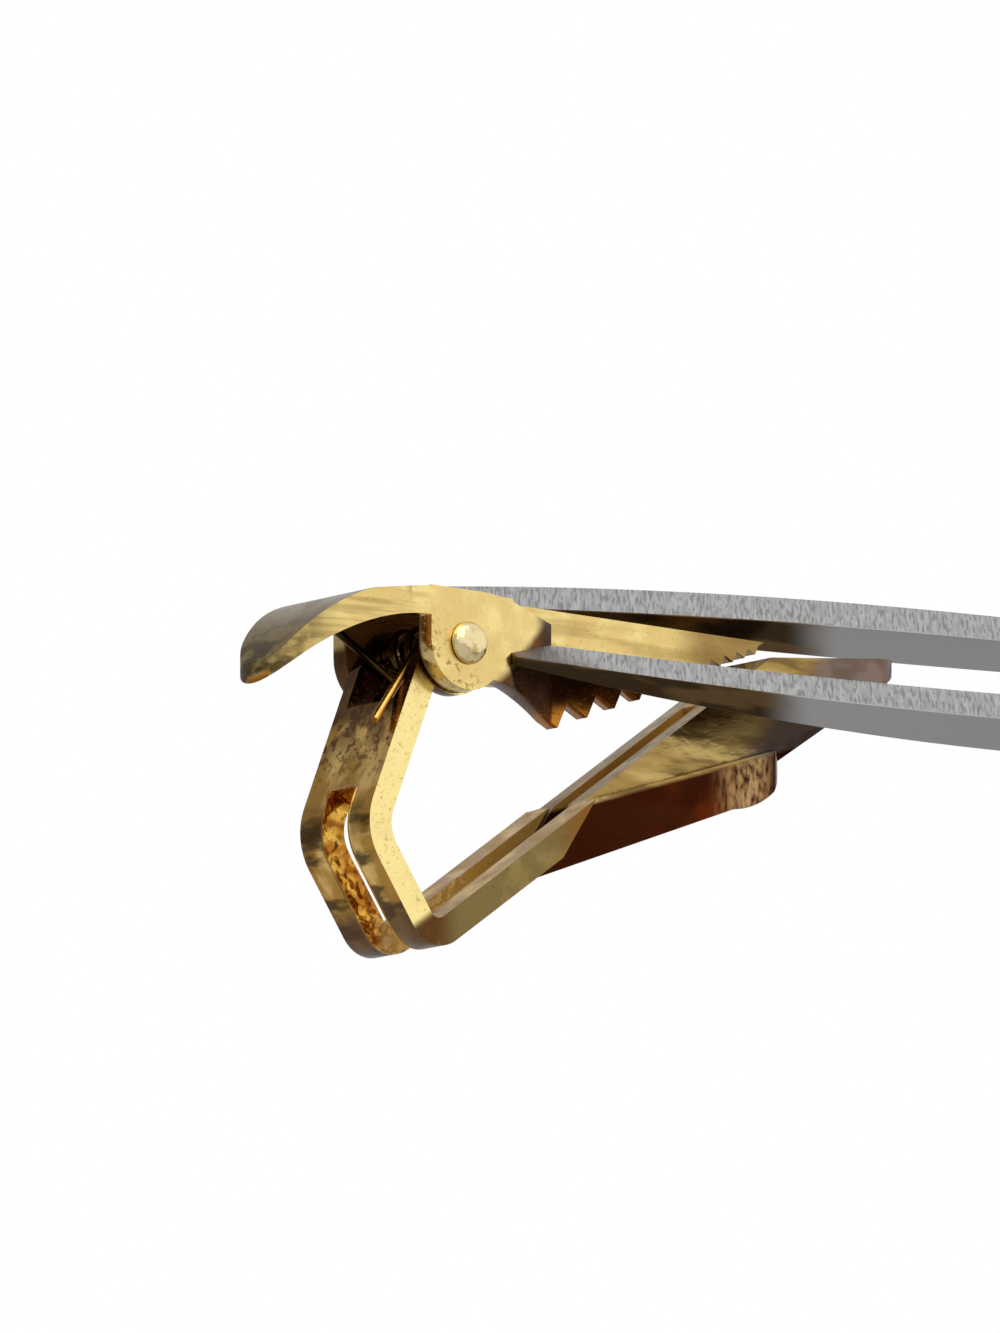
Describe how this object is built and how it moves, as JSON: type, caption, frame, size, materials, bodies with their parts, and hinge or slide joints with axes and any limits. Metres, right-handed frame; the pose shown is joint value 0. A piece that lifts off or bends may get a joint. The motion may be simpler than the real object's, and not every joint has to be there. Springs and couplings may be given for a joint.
{
  "type": "tie clip",
  "caption": "Tie clip with an open tapered front frame on a sprung alligator jaw: thumb tab, toothed upper jaw, slotted bent lower jaw and a hinge pin with a torsion spring.",
  "frame": {"origin": "middle of the hinge pin, at the back of the mouth that the tie slides into", "axes": "+X along the clip from the hinge to the frame's far end, +Y along the hinge pin, +Z towards the front face"},
  "size_m": [0.0612, 0.0113, 0.0168],
  "materials": {
    "silver_front": "brushed front, polished edges",
    "gold_jaw": "gold plated, polished",
    "gold_strip": "gold plated, satin",
    "gold_nose": "gold plated, polished",
    "rivet": "polished",
    "spring_wire": "drawn wire, gold plated"
  },
  "bodies": {
    "front": {"front_frame": "silver_front", "upper_jaw": "gold_jaw", "hinge_pin": "rivet", "torsion_spring": "spring_wire"},
    "jaw": {"lower_jaw": "gold_strip", "nose_piece": "gold_nose"}
  },
  "joints": [
    {"name": "jaw_hinge", "type": "hinge", "parent": "front", "child": "jaw", "pos_m": [0, 0, 0], "axis": [0, 1, 0], "range_deg": [0, 28], "stiffness_Nm_per_rad": 0.04, "springref_deg": -45.84, "deforming": ["torsion_spring"]}
  ]
}
